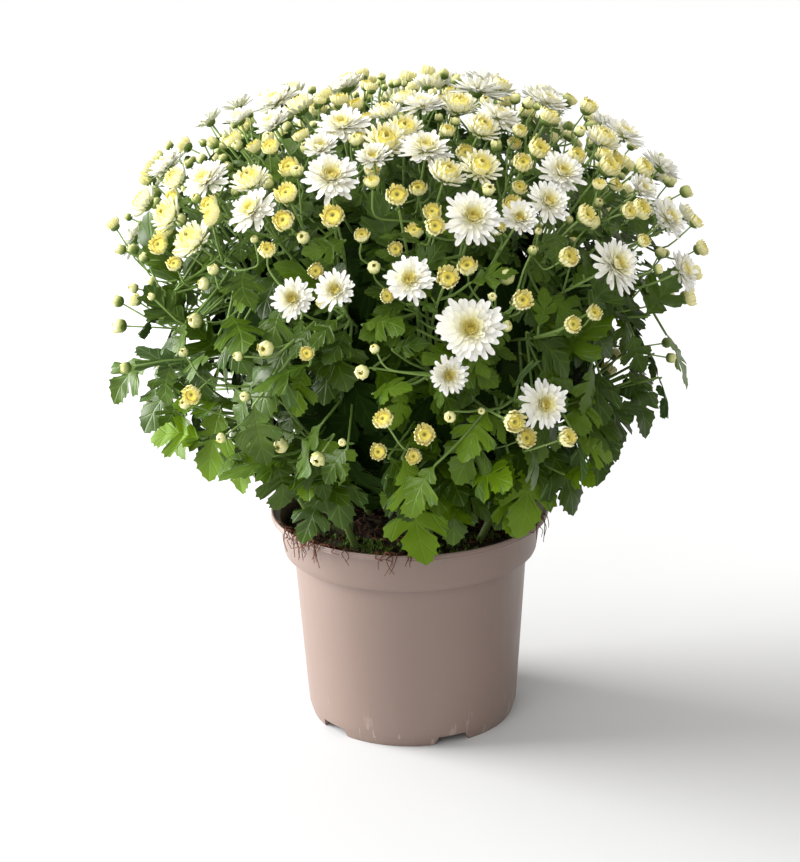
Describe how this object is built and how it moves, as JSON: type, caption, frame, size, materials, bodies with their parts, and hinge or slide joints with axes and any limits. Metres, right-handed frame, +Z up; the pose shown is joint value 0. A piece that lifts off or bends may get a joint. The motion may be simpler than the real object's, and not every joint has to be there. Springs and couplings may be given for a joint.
{
  "type": "pot chrysanthemum",
  "caption": "Bushy potted chrysanthemum with white double blooms, half-open heads and buds over lobed leaves, in a tapered plastic nursery pot.",
  "frame": {"origin": "middle of the pot's foot, on the surface it stands on, under the middle of the plant", "axes": "+Z up along the pot's axis, -Y towards the side with most open blooms, +X to its right"},
  "size_m": [0.3928, 0.4053, 0.4444],
  "materials": {
    "pot_plastic": "taupe, fine matte grain, scuffed at the foot",
    "peat": "rough moist potting soil with fibres and moss",
    "foliage": "soft matte leaf, paler below",
    "petals": "soft satin petals, cream towards the eye"
  },
  "bodies": {
    "root": {"pot": "pot_plastic", "soil": "peat", "leafy_stem_01": "foliage", "leafy_stem_02": "foliage", "leafy_stem_03": "foliage", "leafy_stem_04": "foliage", "leafy_stem_05": "foliage", "leafy_stem_06": "foliage", "leafy_stem_07": "foliage", "leafy_stem_08": "foliage", "leafy_stem_09": "foliage", "leafy_stem_10": "foliage", "leafy_stem_11": "foliage", "leafy_stem_12": "foliage", "bloom_01": "petals", "bloom_02": "petals", "bloom_03": "petals", "bloom_04": "petals", "bloom_05": "petals", "bloom_06": "petals", "bloom_07": "petals", "bloom_08": "petals", "bloom_09": "petals", "bloom_10": "petals", "bloom_11": "petals", "bloom_12": "petals", "bloom_13": "petals", "bloom_14": "petals", "bloom_15": "petals", "bloom_16": "petals", "bloom_17": "petals", "bloom_18": "petals", "bloom_19": "petals", "bloom_20": "petals", "bloom_21": "petals", "bloom_22": "petals", "bloom_23": "petals", "bloom_24": "petals", "bloom_25": "petals", "bloom_26": "petals", "bloom_27": "petals", "bloom_28": "petals", "bloom_29": "petals", "bloom_30": "petals", "bloom_31": "petals", "bloom_32": "petals", "bloom_33": "petals", "bloom_34": "petals", "bloom_35": "petals", "bloom_36": "petals", "bloom_37": "petals", "bloom_38": "petals", "bloom_39": "petals", "bloom_40": "petals", "bloom_41": "petals", "bloom_42": "petals", "bloom_43": "petals", "bloom_44": "petals", "bloom_45": "petals", "bloom_46": "petals"}
  },
  "joints": []
}
